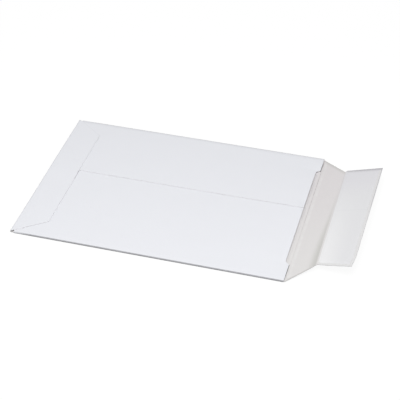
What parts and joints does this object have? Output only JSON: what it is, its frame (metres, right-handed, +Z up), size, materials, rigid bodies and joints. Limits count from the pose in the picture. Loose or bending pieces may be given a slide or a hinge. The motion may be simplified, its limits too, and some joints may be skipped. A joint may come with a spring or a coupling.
{
  "type": "cardboard envelope",
  "caption": "Flat solid-board mailing envelope with a glued back seam and bottom flap, a folding mouth band and a self-seal closing flap under a release liner.",
  "frame": {"origin": "on the surface it lies on, under the middle of the pocket's front panel", "axes": "+X from the bottom fold to the mouth, +Y from the near side fold to the far one, +Z up out of the back"},
  "size_m": [0.4177, 0.248, 0.0218],
  "materials": {
    "white_board": "smooth white-lined solid board, matt, warmer and unlined on its inner face",
    "adhesive": "pressure-sensitive hot-melt film, tacky",
    "liner": "silicone-coated release paper, satin"
  },
  "bodies": {
    "pocket": {"pocket": "white_board"},
    "mouth_band": {"mouth_band": "white_board"},
    "closing_flap": {"closing_flap": "white_board", "adhesive_strip": "adhesive", "release_liner": "liner"}
  },
  "joints": [
    {"name": "mouth_crease", "type": "hinge", "parent": "pocket", "child": "mouth_band", "pos_m": [0.17, 0, 0.0006], "axis": [0, -1, 0], "range_deg": [-15, 90]},
    {"name": "flap_crease", "type": "hinge", "parent": "mouth_band", "child": "closing_flap", "pos_m": [0.2013, 0, 0.00899], "axis": [0, -1, 0], "range_deg": [-0.5, 104.5]}
  ]
}
